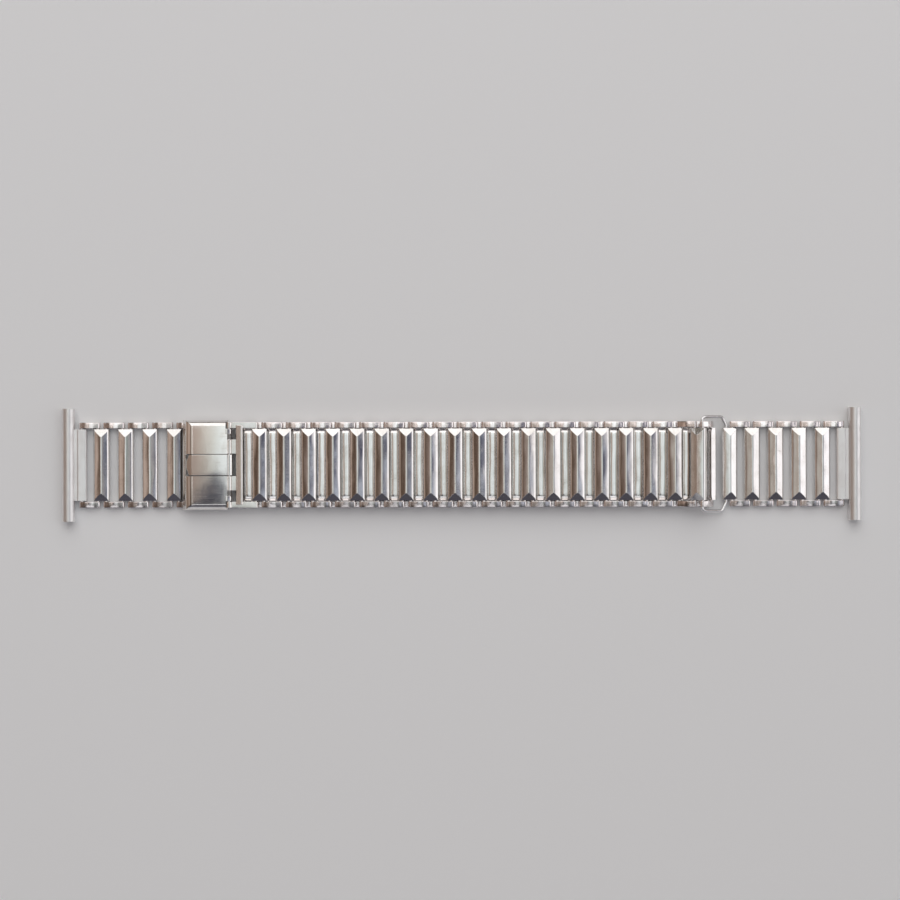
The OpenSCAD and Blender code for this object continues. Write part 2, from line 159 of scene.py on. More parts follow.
def steel(name, bright, aged, gloss, worn, lines=(3.5, 0.15, 3.5), across=(0.8, 4.5, 0.8),
          wave=(0.35, 0.16, 0.35), lines_depth=0.04, depth=1e-4):
    """Stainless steel with polishing lines, cross scratches, hand-polished waves and some age.

    It goes from its bright to its aged colour, and from gloss, its least roughness, up by what is
    worn. Lines, across and wave are the frequencies of the lines, scratches and waves.
    """
    finish = bpy.data.materials.new(name)
    finish.use_nodes = True
    shader = finish.node_tree.nodes["Principled BSDF"]
    shader.inputs["Metallic"].default_value = 1.0
    start = Signal(finish.node_tree)
    place = start.node("TexCoord", output=3).scaled(1 / MM)
    polish = place.noise(lines, detail=4.0, roughness=0.65)
    strokes = place.noise(across, detail=4.0, roughness=0.7)
    patches = place.noise((0.6, 0.3, 0.6), detail=2.0).between(0.42, 0.68)
    scratches = strokes.between(0.56, 0.68) * patches
    waves = place.noise(wave, detail=1.0, roughness=0.4)
    tone = start.node("Attribute", {"attribute_name": "tone"}, output=2)
    age = patches * 0.25 + polish * 0.3 + tone * 0.25 + scratches * 0.2
    rough = polish * worn + patches * (0.4 * worn) + scratches * scratch_rough + gloss
    height = waves + polish * lines_depth + strokes * patches * scratch_depth
    relief = start.node("Bump", Strength=1.0, Distance=depth, Height=height)
    for socket, signal in (("Base Color", age.blend(bright, aged)), ("Roughness", rough), ("Normal", relief)):
        finish.node_tree.links.new(signal.socket, shader.inputs[socket])
    return finish


def spread(first, last, steps):
    """Evenly spaced values from the first to the last."""
    return [first + (last - first) * i / steps for i in range(steps + 1)]


def arc(mid, radius, start, end, steps):
    """Corners along an arc, between two angles in degrees."""
    turns = [math.radians(turn) for turn in spread(start, end, steps)]
    return [(mid[0] + radius * math.cos(turn), mid[1] + radius * math.sin(turn)) for turn in turns]


def outline(points):
    """A shape of one face across the strap, from its corners in X and Z."""
    shape = bmesh.new()
    shape.faces.new([shape.verts.new((x, 0.0, z)) for x, z in points])
    return shape


def verts_in(geometry):
    """The points among what an operator gives back."""
    return [item for item in geometry if isinstance(item, bmesh.types.BMVert)]


def edges_in(geometry):
    """The edges among what an operator gives back."""
    return [item for item in geometry if isinstance(item, bmesh.types.BMEdge)]


def stretch_across(shape, length, mid=0.0):
    """Makes the one face of a shape a solid of that length across the strap."""
    made = bmesh.ops.extrude_face_region(shape, geom=shape.faces[:], use_keep_orig=True)
    bmesh.ops.translate(shape, verts=verts_in(made["geom"]), vec=(0.0, length, 0.0))
    bmesh.ops.translate(shape, verts=shape.verts, vec=(0.0, mid - length / 2, 0.0))
    bmesh.ops.recalc_face_normals(shape, faces=shape.faces)
    return shape


def cut_off(shape, point, normal):
    """Cuts a shape at a plane, takes away what lies ahead of it and closes the cut."""
    whole = shape.verts[:] + shape.edges[:] + shape.faces[:]
    cut = bmesh.ops.bisect_plane(shape, geom=whole, dist=1e-5, plane_co=point, plane_no=normal,
                                 clear_outer=True)
    bmesh.ops.edgeloop_fill(shape, edges=edges_in(cut["geom_cut"]))


def cut_across(shape, axis, places, faces=None):
    """Adds edges where planes across an axis cut a shape, or only the faces that a test picks out."""
    for place in places:
        picked = [f for f in shape.faces if faces is None or faces(f)]
        edges = {e for f in picked for e in f.edges}
        verts = {v for f in picked for v in f.verts}
        point = [0.0, 0.0, 0.0]
        point[axis] = place
        normal = [0.0, 0.0, 0.0]
        normal[axis] = 1.0
        bmesh.ops.bisect_plane(shape, geom=list(verts) + list(edges) + picked, dist=1e-5,
                               plane_co=point, plane_no=normal)


def crisp_edges(shape, least=20.0):
    """The edges where two faces meet at more than the given angle."""
    return [e for e in shape.edges if len(e.link_faces) == 2 and e.calc_face_angle() > math.radians(least)]


def soften(shape, edges, width, segments=2):
    """Rounds edges off."""
    bmesh.ops.bevel(shape, geom=edges, offset=width, offset_type="OFFSET", segments=segments, profile=0.5,
                    affect="EDGES", clamp_overlap=True, material=-1)


def facings(shape, most=32.0):
    """A shading normal for each corner: the smoothly joined faces there, weighed by their areas."""
    shape.normal_update()
    shape.faces.index_update()
    areas = [face.calc_area() for face in shape.faces]
    least = math.cos(math.radians(most))
    found = []
    for face in shape.faces:
        for vert in face.verts:
            joined = [near for near in vert.link_faces if near.normal.dot(face.normal) > least]
            found.append(sum((near.normal * areas[near.index] for near in joined), Vector()).normalized())
    return found


def settle(shape, name, finish, body, slot, *nodes, tone=0.5):
    """Makes a shape in millimetres a piece in metres, which rides on its body and replaces nodes."""
    normals = facings(shape)
    bmesh.ops.scale(shape, vec=(MM, MM, MM), verts=shape.verts)
    mesh = bpy.data.meshes.new(name)
    shape.to_mesh(mesh)
    shape.free()
    mesh.shade_smooth()
    mesh.normals_split_custom_set(normals)
    tones = mesh.attributes.new("tone", "FLOAT", "POINT").data
    tones.foreach_set("value", [tone] * len(mesh.vertices))
    mesh.materials.append(finish)
    piece = bpy.data.objects.new(name, mesh)
    bpy.context.scene.collection.objects.link(piece)
    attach(piece, body)
    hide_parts(*nodes)


def seated(shape, x, z, up=0.0, back_up=False):
    """A copy of a shape at a place of the side view, turned up at its right end."""
    copy = shape.copy()
    turn = Matrix.Rotation(math.radians(180.0 if back_up else -up), 4, "Y")
    bmesh.ops.transform(copy, matrix=Matrix.Translation((x, 0.0, z)) @ turn, verts=copy.verts)
    return copy


def bar_section():
    """The corners of a bar's side view: round ridge, bowed facets, round eaves and bulging back."""
    half = bar_width / 2
    fall = (bar_height - eaves_height) / half
    facet_end = half - 0.62 * eaves_round

    def height(x):
        return bar_height - fall * x + 4 * face_bow * (x / half) * (1 - x / half)

    def slope(x):
        return math.atan(fall - 4 * face_bow / half * (1 - 2 * x / half))

    facet = [(x, height(x)) for x in spread(ridge_round, facet_end, 7)]
    top_rise = ridge_round * math.tan(slope(ridge_round) / 2)
    crest = height(ridge_round) + top_rise
    ridge = [(x, crest - top_rise * (x / ridge_round) ** 2) for x in spread(0.0, ridge_round, 3)[:-1]]
    eaves_mid = (half - eaves_round, height(facet_end) - eaves_round * math.cos(slope(facet_end)))
    eaves = arc(eaves_mid, eaves_round, 90.0 - math.degrees(slope(facet_end)), 0.0, 6)[1:]
    right = ridge + facet + eaves
    left = [(-x, z) for x, z in reversed(right[1:])]
    back_radius = (back_bulge ** 2 + half ** 2) / (2 * back_bulge)
    reach = math.degrees(math.asin(half / back_radius))
    return left + right + arc((0.0, back_radius), back_radius, 270.0 + reach, 270.0 - reach, 12)


def on_back(vert):
    """Whether a point of a bar lies on its bulging back."""
    return vert.co.z < back_bulge + 0.001


def folded_bar():
    """A bar on its back: its side view stretched, a hip cut at each end, and the back's ends drawn up."""
    bar = stretch_across(outline(bar_section()), bar_length)
    end = bar_length / 2
    for side in (-1, 1):
        cut_off(bar, (0.0, side * end, eaves_height), (0.0, side * (bar_height - eaves_height), hip_length))
    bmesh.ops.recalc_face_normals(bar, faces=bar.faces)
    rows = spread(end - back_end_run, end, 7)[:-1]
    cut_across(bar, 1, [-row for row in rows] + rows, lambda face: all(on_back(v) for v in face.verts))
    for vert in bar.verts:
        past = abs(vert.co.y) - end + back_end_run
        if past > 0.0 and on_back(vert):
            vert.co.z += back_end_radius - math.sqrt(back_end_radius ** 2 - past ** 2)
    ridges = [e for e in crisp_edges(bar, 15.0) if max(v.co.z for v in e.verts) > eaves_height + 0.1]
    soften(bar, ridges, ridge_bevel, 3)
    return bar


# The distances of the wires from the middle of a bar, and how the bars lean in their play: the
# first bar on the ring the most, the next ones by chance, and the left ones as in the photo.
pins = {joint["child"]: Vector(joint["pos_m"]) / MM for joint in frame["joints"]}
taut_pin = 0.66
slack_pin = 0.59
ring_pin = 0.35
first_lean = -13.0
first_lift = 0.075
most_lean = 1.8
left_leans = (-0.3, 1.5, 1.8, 1.6)
bar_finish = steel("bar_finish", bright=(0.90, 0.89, 0.89), aged=(0.66, 0.62, 0.58), gloss=0.07, worn=0.08)
plain_bar = folded_bar()
draw = random.Random(7)
for number in range(1, 6):
    body = f"right_bar_{number}"
    x = pins[body].x + (ring_pin if number == 1 else slack_pin)
    lift, lean = (first_lift, first_lean) if number == 1 else (0.0, draw.uniform(-most_lean, most_lean))
    settle(seated(plain_bar, x, lift, lean), f"bar_right_{number}", bar_finish, body, "bar_steel", body,
           tone=draw.random())
for number, lean in enumerate(left_leans, 1):
    body = f"left_bar_{number}"
    x = pins[body].x - taut_pin
    settle(seated(plain_bar, x, 0.0, lean), f"bar_left_{number}", bar_finish, body, "bar_steel", body,
           tone=draw.random())

# The loops of the single ladders.
# A loop is two lens-shaped steel side plates with a wire across at each end. The wires pass
# through two neighbouring bars, side by side with the wires of the next loops.
wire_radius = 0.275
wire_span = 2.56
side_gap = 0.13
plate_thick = 0.97
plate_height = 1.4
plate_round = 0.42
plate_trim = 0.005
plate_fall = 0.12
plate_bevel = 0.1
plate_place = bar_length / 2 + side_gap + plate_thick / 2
ladder_half = plate_place + plate_thick / 2


def across_rod(radius, length, x=0.0, z=0.0, sides=24):
    """A straight round wire across the strap."""
    rod = bmesh.new()
    lying = Matrix.Translation((x, 0.0, z)) @ Matrix.Rotation(math.radians(90), 4, "X")
    bmesh.ops.create_cone(rod, cap_ends=True, segments=sides, radius1=radius, radius2=radius, depth=length,
                          matrix=lying)
    return rod


def join(*shapes):
    """All the shapes as one, each shell as it was."""
    whole = bmesh.new()
    for shape in shapes:
        part = bpy.data.meshes.new("part")
        shape.to_mesh(part)
        whole.from_mesh(part)
        bpy.data.meshes.remove(part)
        shape.free()
    return whole


def side_plate(side):
    """A lens with round ends and bevelled edges, a little lower on its outside."""
    half = wire_span / 2
    sag = plate_height / 2 - plate_round + 2 * plate_trim
    radius = (sag ** 2 + half ** 2) / (2 * sag)
    mid_height = plate_height / 2 - plate_trim - radius
    right = arc((wire_span, 0.0), plate_round, 88.0, -88.0, 12)
    left = arc((0.0, 0.0), plate_round, 268.0, 92.0, 12)
    upper = [(half + x, mid_height + math.sqrt(radius ** 2 - x ** 2))
             for x in spread(-half * 8 / 9, half * 8 / 9, 8)]
    lower = [(x, -z) for x, z in reversed(upper)]
    plate = stretch_across(outline(right + lower + left + upper), plate_thick, side * plate_place)
    for vert in plate.verts:
        outward = (abs(vert.co.y) - plate_place) / plate_thick + 0.5
        vert.co.z *= 1.0 - plate_fall * outward
    soften(plate, crisp_edges(plate, 60.0), plate_bevel)
    return plate


def ladder_loop():
    """A loop with its left wire on the origin."""
    wires = [across_rod(wire_radius, 2 * plate_place, x) for x in (0.0, wire_span)]
    return join(side_plate(-1), side_plate(1), *wires)


loop_finish = steel("loop_finish", bright=(0.92, 0.88, 0.88), aged=(0.68, 0.62, 0.60), gloss=0.1, worn=0.12,
                    lines=(0.8, 3.0, 3.0), wave=(0.9, 0.9, 0.9), depth=4e-5)
plain_loop = ladder_loop()
for number in range(1, 6):
    for label, reach in (("right", 0.0), ("left", -wire_span)):
        body = f"{label}_loop_{number}"
        settle(seated(plain_loop, pins[body].x + reach, wire_height), f"loop_{label}_{number}", loop_finish,
               body, "wire_steel", body, tone=draw.random())

# The long ladder, doubled.
# Its outer run lies face up on its inner run, which lies face down and half a step further, so
# that the rounded backs of the inner run fill the gaps. Bars and loops are as in the single ladders.
run_lap = 0.216
link_step = wire_span + 2 * taut_pin
outer_back = bar_height - run_lap
outer_wire_height = outer_back + wire_height
inner_wire_height = bar_height - wire_height
outer_leans = (0.0, -0.1, -2.0, -0.2, 0.55, -0.1, 0.5, -0.55, 0.85, 2.2, 1.3, -0.15, -1.8, 1.2, 1.3, 2.2,
               2.2, 1.05)
fold_pin = 0.72
turn_pins = 1.02
turn_stretch = 0.86


def meet(first, second, from_first, from_second):
    """The point of the side view at these distances from two others, on the left of their line."""
    apart = (second - first).length
    ahead = (second - first).normalized()
    along = (apart ** 2 + from_first ** 2 - from_second ** 2) / (2 * apart)
    return first + ahead * along + ahead.orthogonal() * math.sqrt(from_first ** 2 - along ** 2)


def heading(first, second):
    """The direction from one point of the side view to another, in degrees."""
    return math.degrees(math.atan2(second.y - first.y, second.x - first.x))


# The wires of the fold: the last one of the outer run, the highest and the lowest. The last loop
# of the outer run rises to the highest.
last_wire = Vector((pins["link_18"].x + 2 * taut_pin, outer_wire_height))
low_wire = Vector((pins["link_18"].x + taut_pin + link_step / 2 + fold_pin + wire_span, inner_wire_height))
high_wire = meet(last_wire, low_wire, link_step, turn_stretch * (wire_span + turn_pins))
rise = heading(last_wire, high_wire)
for number, lean in enumerate(outer_leans, 1):
    body = f"link_{number:02d}"
    node = f"double_link_{number:02d}"
    x = pins[body].x + taut_pin
    up = rise if number == len(outer_leans) else 0.0
    inner_bar = x + link_step / 2
    inner_wire = inner_bar - link_step + taut_pin
    bits = (
        ("outer_bar", seated(plain_bar, x, outer_back, lean), bar_finish, "bar_steel"),
        ("outer_loop", seated(plain_loop, x + taut_pin, outer_wire_height, up), loop_finish, "wire_steel"),
        ("inner_bar", seated(plain_bar, inner_bar, bar_height, back_up=True), bar_finish, "bar_steel"),
        ("inner_loop", seated(plain_loop, inner_wire, inner_wire_height), loop_finish, "wire_steel"),
    )
    for label, shape, finish, slot in bits:
        settle(shape, f"{label}_{number:02d}", finish, body, slot, node, tone=draw.random())

first_bar = pins["link_01"].x + taut_pin
tail_bar = first_bar - 1.5 * link_step
tail_wire = Vector((tail_bar - taut_pin - wire_span, inner_wire_height))
for name, body, node, x in (("inner_{}_00", "link_00", "inner_link_00", first_bar - link_step / 2),
                            ("inner_{}_tail", "clasp_base", "tail_{}", tail_bar)):
    settle(seated(plain_bar, x, bar_height, back_up=True), name.format("bar"), bar_finish, body,
           "bar_steel", node.format("bar"))
    settle(seated(plain_loop, x - taut_pin - wire_span, inner_wire_height), name.format("loop"), loop_finish,
           body, "wire_steel", node.format("loop"))

# The fold, where the outer run turns down into the inner run.
# One bar rises on its loop, the next stands on edge inside the wire ring, and two loops lead
# into it and out again. The pieces are the same as in the rest of the ladder, and these two bars
# are seated by the middle of their wires.
turn_lean = 8.0
turn_pin = 0.42
turn_wire = meet(high_wire, low_wire, wire_span, turn_pins)
raised_wire = last_wire + (high_wire - last_wire).normalized() * wire_span
turn_tilt = heading(low_wire, turn_wire) - 180.0 + turn_lean
turn_way = Vector((math.cos(math.radians(turn_tilt)), math.sin(math.radians(turn_tilt))))
raised_mid = (raised_wire + high_wire) / 2
turn_mid = turn_wire + turn_way * turn_pin
wired_bar = seated(plain_bar, 0.0, -wire_height)
settle(seated(wired_bar, *raised_mid, rise), "fold_raised_bar", bar_finish, "fold", "bar_steel", "raised_bar")
settle(seated(wired_bar, *turn_mid, turn_tilt), "fold_turn_bar", bar_finish, "fold", "bar_steel", "turn_bar")
settle(join(seated(plain_loop, *high_wire, heading(high_wire, turn_wire)),
            seated(plain_loop, low_wire.x - wire_span, low_wire.y)),
       "fold_turn_loops", loop_finish, "fold", "wire_steel", "turn_loops")

# The wire ring.
# A single steel wire, bent to a long ring with its ends soldered, through which the folded ladder
# runs. It slopes from the inside of the fold down to the first bar of the right ladder.
ring_radius = 0.25
ring_bend = 0.5
ring_length = 4.13
ring_half = 7.5
ring_flare = (0.5, 0.3)
ring_taper = (0.68, 1.3)
ring_place = pins["ring"]
ring_slope = math.asin((ring_place.z - wire_height) / ring_length)


def bent_ring():
    """The ring in its own slope: a circle pushed along each side and spun round each corner."""
    far = [(0.0, ring_half - ring_flare[1]), (ring_flare[0], ring_half),
           (ring_length - ring_taper[0], ring_half), (ring_length, ring_half - ring_taper[1])]
    corners = [Vector((x, y, 0.0)) for x, y in far + [(x, -y) for x, y in reversed(far)]]
    ring = bmesh.new()
    count = len(corners)
    ways = [(corners[(i + 1) % count] - corners[i]).normalized() for i in range(count)]
    turns = [ways[i - 1].angle(ways[i]) for i in range(count)]
    cuts = [ring_bend * math.tan(turn / 2) for turn in turns]
    begin = Matrix.Translation(corners[0] + ways[0] * cuts[0])
    facing = ways[0].to_track_quat("Z", "Y").to_matrix().to_4x4()
    made = bmesh.ops.create_circle(ring, segments=24, radius=ring_radius, matrix=begin @ facing)
    verts = made["verts"]
    edges = list({e for v in verts for e in v.link_edges})
    for i in range(count):
        following = (i + 1) % count
        length = (corners[following] - corners[i]).length - cuts[i] - cuts[following]
        pushed = bmesh.ops.extrude_edge_only(ring, edges=edges)["geom"]
        verts = verts_in(pushed)
        edges = [e for e in edges_in(pushed) if all(v in verts for v in e.verts)]
        bmesh.ops.translate(ring, verts=verts, vec=ways[i] * length)
        inward = Vector((ways[i].y, -ways[i].x, 0.0))
        bend_mid = corners[i] + ways[i] * (length + cuts[i]) + inward * ring_bend
        spun = bmesh.ops.spin(ring, geom=verts + edges, cent=bend_mid, axis=(0.0, 0.0, -1.0),
                              angle=turns[following], steps=8)["geom_last"]
        verts = verts_in(spun)
        edges = edges_in(spun)
    bmesh.ops.remove_doubles(ring, verts=ring.verts, dist=0.01)
    bmesh.ops.recalc_face_normals(ring, faces=ring.faces)
    sloping = Matrix.Translation(ring_place) @ Matrix.Rotation(ring_slope, 4, "Y")
    bmesh.ops.transform(ring, matrix=sloping, verts=ring.verts)
    return ring


wire_finish = steel("wire_finish", bright=(0.92, 0.92, 0.93), aged=(0.7, 0.67, 0.65), gloss=0.08, worn=0.08,
                    lines=(5.0, 5.0, 5.0), depth=2e-5)
settle(bent_ring(), "wire_ring_bent", wire_finish, "ring", "wire_steel", "wire_ring")

# The end tubes.
# Sheet steel is rolled to an open tube for the watch's spring bar, and its two ends are pressed
# together into a flat tab that is clamped round the last wire of the ladder.
tube_radius = 1.02
tube_bore = 0.8
tube_length = 18.0
tube_bevel = 0.06
tab_reach = 2.03
tab_start = 0.75
tab_end = 2.9
tab_half = 0.575
tab_mid = -0.32
tab_corner = 0.2
tab_step = 0.07


def rolled_tube(side):
    """An end tube with its tab towards the middle of the bracelet."""
    shell = bmesh.new()
    upright = Matrix.Translation((0.0, -tube_length / 2, 0.0)) @ Matrix.Rotation(math.radians(90), 4, "X")
    for radius in (tube_radius, tube_bore):
        bmesh.ops.create_circle(shell, segments=64, radius=radius, matrix=upright)
    bmesh.ops.bridge_loops(shell, edges=shell.edges[:])
    stretch_across(shell, tube_length)
    bmesh.ops.translate(shell, verts=shell.verts, vec=(0.0, tube_length / 2, 0.0))
    soften(shell, crisp_edges(shell, 60.0), tube_bevel)
    low, high = tab_mid - tab_half, tab_mid + tab_half
    lower_side = [(tab_start, low), (tab_end - tab_corner, low), (tab_end, low + tab_corner)]
    rolled_end = [(tab_end, high - 0.3), (tab_end - 0.12, high - 0.16), (tab_end - 0.42, high - 0.08)]
    upper_side = [(tab_reach - 0.45, high), (tab_reach - 0.62, high - tab_step), (tab_start, high)]
    tab = stretch_across(outline(lower_side + rolled_end + upper_side), bar_length)
    soften(tab, crisp_edges(tab, 15.0), 0.04)
    whole = join(shell, tab)
    if side > 0:
        bmesh.ops.rotate(whole, verts=whole.verts, matrix=Matrix.Rotation(math.pi, 3, "Z"))
    tube_x = pins["right_end_tube"].x + tab_reach
    bmesh.ops.translate(whole, verts=whole.verts, vec=(side * tube_x, 0.0, tube_radius))
    return whole


tube_finish = steel("tube_finish", bright=(0.91, 0.90, 0.90), aged=(0.74, 0.71, 0.70), gloss=0.28, worn=0.16,
                    lines=(5.0, 0.3, 5.0), lines_depth=0.15, depth=4e-5)
settle(rolled_tube(-1), "end_tube_left", tube_finish, "left_end_tube", "satin_steel", "left_end_tube")
settle(rolled_tube(1), "end_tube_right", tube_finish, "right_end_tube", "satin_steel", "right_end_tube")

# The clasp's base, under the lid.
# A plate of sheet steel with a rail on each side, rolled round the left ladder's last wire and,
# at its right end, round the hinge wire. Lid, tongue and end link turn on that wire.
hinge_wire_radius = 0.2
hinge_x, hinge_z = pins["clasp_lid"].x, pins["clasp_lid"].z
# Its steel is coloured dark: partly the duller finish of unpolished sheet, partly painted shade that makes
# the gaps round the lid and the hinge dark.
base_dull_and_painted_shade = steel("base_dull_and_painted_shade", bright=(0.34, 0.33, 0.32), aged=(0.20, 0.18, 0.17), gloss=0.4, worn=0.15,
                    depth=2e-5)
frame["nodes"]["clasp_base"].data.materials.clear()
frame["nodes"]["clasp_base"].data.materials.append(base_dull_and_painted_shade)
hinge = across_rod(hinge_wire_radius, 2 * ladder_half, hinge_x, hinge_z)
soften(hinge, crisp_edges(hinge, 60.0), 0.05)
settle(hinge, "hinge_pin", wire_finish, "clasp_base", "wire_steel", "hinge_wire")

# The clasp's lid.
# Pressed from one sheet: a slightly crowned top with a rolled nose at the left, sides turned down
# over the ladder, a slot for the tongue and two knuckles on the hinge wire. Polished all over.
lid_length = 7.45
lid_back = 0.22
lid_rise = 0.68
lid_left = hinge_x - lid_length
lid_right = hinge_x - lid_back
lid_top = hinge_z + lid_rise
lid_half = 7.13
lid_rim = 1.0
lid_lip = 2.0
lid_sheet = 0.26
nose = 1.78
side_bend = 0.9
side_top = 2.05
slot_half = 1.76
slot_left = lid_left + 0.6
notch_left = -37.395
notch_low, notch_high = 5.75, 6.88
crest_x = -39.4
crown_radius = 60.0
crown_across = 70.0
crown_rows = spread(-42.2, -37.7, 9)
knuckle_radius = 0.42
knuckle_width = 0.76
knuckle_place = 5.32
knuckle_root = 0.15


def crowned(point):
    """Lowers a point near the top of the clasp by the soft crown of its sheet."""
    fade = min(1.0, max(0.0, (point.z - 1.6) / 0.8))
    point.z -= fade * ((point.x - crest_x) ** 2 / (2 * crown_radius) + point.y ** 2 / (2 * crown_across))


def lid_section(inset):
    """The corners across the lid from rim to rim, with more of them where it is cut out and crowned."""
    side = [(lid_half - inset, z) for z in spread(lid_rim, side_top, 3)]
    side += arc((lid_half - side_bend, lid_top - side_bend), side_bend - inset, 0.0, 90.0, 10)
    side += [(y, lid_top - inset) for y in [notch_low] + spread(5.0, 2.6, 3) + [slot_half, 0.8]]
    return side + [(-y, z) for y, z in reversed(side)]


def lid_places(inset):
    """The places along the lid and the height there: round the nose, then over the flat top."""
    nose_x, nose_z = lid_left + nose, lid_top - nose
    lowest = math.degrees(math.asin((lid_lip - nose_z) / nose))
    bends = spread(lowest, 90.0, 14)[:-1] + [math.degrees(math.acos((nose_x - slot_left) / nose))]
    turns = [math.radians(bend) for bend in sorted(bends)]
    round_places = [(nose_x - (nose - inset) * math.cos(turn), nose_z + (nose - inset) * math.sin(turn))
                    for turn in turns]
    return round_places + [(x, lid_top) for x in [nose_x] + crown_rows + [notch_left, lid_right]]


def lid_skin(inset):
    """A strip across the strap, pushed along it and drawn down over the nose, then cut out."""
    section = lid_section(inset)
    places = lid_places(inset)
    skin = bmesh.new()
    order_of = skin.verts.layers.int.new("row")
    verts = [skin.verts.new((places[0][0], y, min(z, places[0][1]))) for y, z in section]
    edges = [skin.edges.new(pair) for pair in zip(verts, verts[1:])]
    for order, vert in enumerate(verts):
        vert[order_of] = order
    for x, ceiling in places[1:]:
        pushed = bmesh.ops.extrude_edge_only(skin, edges=edges)["geom"]
        verts = verts_in(pushed)
        edges = [e for e in edges_in(pushed) if all(v in verts for v in e.verts)]
        for vert in verts:
            vert.co.x = x
            vert.co.z = min(section[vert[order_of]][1], ceiling)
    open_places = []
    for face in skin.faces:
        mid = face.calc_center_median()
        in_slot = mid.x > slot_left + inset * 0.7 and abs(mid.y) < slot_half
        in_notch = mid.x > notch_left and notch_low < abs(mid.y) < notch_high and mid.z > lid_lip
        if in_slot or in_notch:
            open_places.append(face)
    bmesh.ops.delete(skin, geom=open_places, context="FACES")
    for vert in skin.verts:
        crowned(vert.co)
    return skin


def lid_knuckle(place):
    """A strip of the lid's back edge, rolled round the hinge wire."""
    roll = arc((hinge_x, hinge_z), knuckle_radius, -150.0, 90.0, 14)
    arm_x = lid_right - lid_sheet
    arm_top = lid_top - knuckle_root
    arm = [(lid_right, arm_top), (arm_x, arm_top), (arm_x, hinge_z - knuckle_root)]
    knuckle = stretch_across(outline(roll + arm), knuckle_width, place)
    soften(knuckle, crisp_edges(knuckle, 50.0), 0.04)
    return knuckle


def pressed_lid():
    """The outer and the inner skin, closed along their edges, with a knuckle on each side."""
    lid = join(lid_skin(0.0), lid_skin(lid_sheet))
    bmesh.ops.bridge_loops(lid, edges=[e for e in lid.edges if e.is_boundary])
    bmesh.ops.remove_doubles(lid, verts=lid.verts, dist=0.0005)
    bmesh.ops.recalc_face_normals(lid, faces=lid.faces)
    soften(lid, [e for e in crisp_edges(lid, 60.0) if e.calc_length() > 0.02], 0.03)
    return join(lid, lid_knuckle(-knuckle_place), lid_knuckle(knuckle_place))


lid_finish = steel("lid_finish", bright=(0.92, 0.91, 0.90), aged=(0.70, 0.66, 0.62), gloss=0.08, worn=0.08,
                   lines=(0.2, 2.6, 2.6), across=(0.2, 4.0, 4.0), wave=(0.22, 0.18, 0.22), depth=5e-5)
settle(pressed_lid(), "lid_shell", lid_finish, "clasp_lid", "clasp_steel", "clasp_lid")

# The tongue.
# A thick steel lever that lies flush in the lid's slot and turns on the hinge wire. Its tip is
# bevelled for the finger nail, and its hook reaches down through the base to the ladder's tail.
tongue_half = 1.65
tongue_tip = lid_left + 0.67
tongue_thick = 0.45
tongue_knuckle = 0.6
tip_bevel = 0.9
tip_drop = 0.55
tip_corner = 0.45
hook_play = 0.03
hook_thick = 0.43
hook_half = 1.1
hook_tip = 0.45
hook_top = 174.0
hook_reach = (tail_wire - Vector((hinge_x, hinge_z))).length - wire_radius - hook_play
hook_low = 180.0 + math.degrees(math.asin((hinge_z - hook_tip) / hook_reach))


def tongue_lever():
    """The lever: its side view stretched, the corners of its tip cut off, and crowned as the lid is."""
    under = lid_top - tongue_thick
    lever = stretch_across(outline([
        (tongue_tip, lid_top - tip_drop), (tongue_tip + tip_bevel, lid_top), (lid_right, lid_top),
        (hinge_x, hinge_z + tongue_knuckle - 0.02), (hinge_x, under), (tongue_tip + tip_bevel / 2, under)]),
        2 * tongue_half)
    for side in (-1, 1):
        corner = Vector((tongue_tip + tip_corner, side * tongue_half, 0.0))
        cut_off(lever, corner, (tip_corner - tongue_half, side * tip_corner, 0.0))
    bmesh.ops.recalc_face_normals(lever, faces=lever.faces)
    soften(lever, crisp_edges(lever, 18.0), 0.06)
    cut_across(lever, 0, crown_rows + [-37.2])
    cut_across(lever, 1, (-0.8, 0.0, 0.8))
    for vert in lever.verts:
        crowned(vert.co)
    return lever


def tongue_hook():
    """The claw under the tongue, an arc about the hinge."""
    mid = (hinge_x, hinge_z)
    claw = stretch_across(outline(arc(mid, hook_reach, hook_top, hook_low, 16)
                                  + arc(mid, hook_reach - hook_thick, hook_low, hook_top, 16)), 2 * hook_half)
    soften(claw, crisp_edges(claw, 60.0), 0.06)
    return claw


knuckle = across_rod(tongue_knuckle, 2 * tongue_half, hinge_x, hinge_z, 48)
soften(knuckle, crisp_edges(knuckle, 60.0), 0.05)
settle(join(tongue_lever(), knuckle, tongue_hook()), "tongue_lever", lid_finish, "tongue", "clasp_steel",
       "tongue")

# The end link.
# It joins the long ladder to the hinge wire: two broad fingers and two side arms on the wire, a
# rounded sleeve across all of them, and the cross wire that the first bar hangs on.
finger_in, finger_out = 1.77, 4.06
band_height = 0.4
sleeve_width = 1.15
sleeve_height = 1.1
sleeve_bend = 0.3
sleeve_slant = 3.2
link_wire = pins["link_01"]
sleeve_x = link_wire.x - 3.1 + sleeve_width / 2
sleeve_z = outer_back + 0.416


def bent_sleeve():
    """The sleeve, with rounded upper edges and a top that slants down to the left."""
    half = sleeve_width / 2
    drop = math.tan(math.radians(sleeve_slant)) * (sleeve_width - 2 * sleeve_bend)
    bend_z = sleeve_z + sleeve_height - sleeve_bend
    steep = 90.0 + sleeve_slant
    right = arc((sleeve_x + half - sleeve_bend, bend_z), sleeve_bend, 0.0, steep, 8)
    left = arc((sleeve_x - half + sleeve_bend, bend_z - drop), sleeve_bend, steep, 180.0, 6)
    feet = [(sleeve_x + half, sleeve_z), (sleeve_x - half, sleeve_z)]
    sleeve = stretch_across(outline(feet[:1] + right + left + feet[1:]), 2 * plate_place)
    soften(sleeve, crisp_edges(sleeve, 60.0), 0.08)
    return sleeve


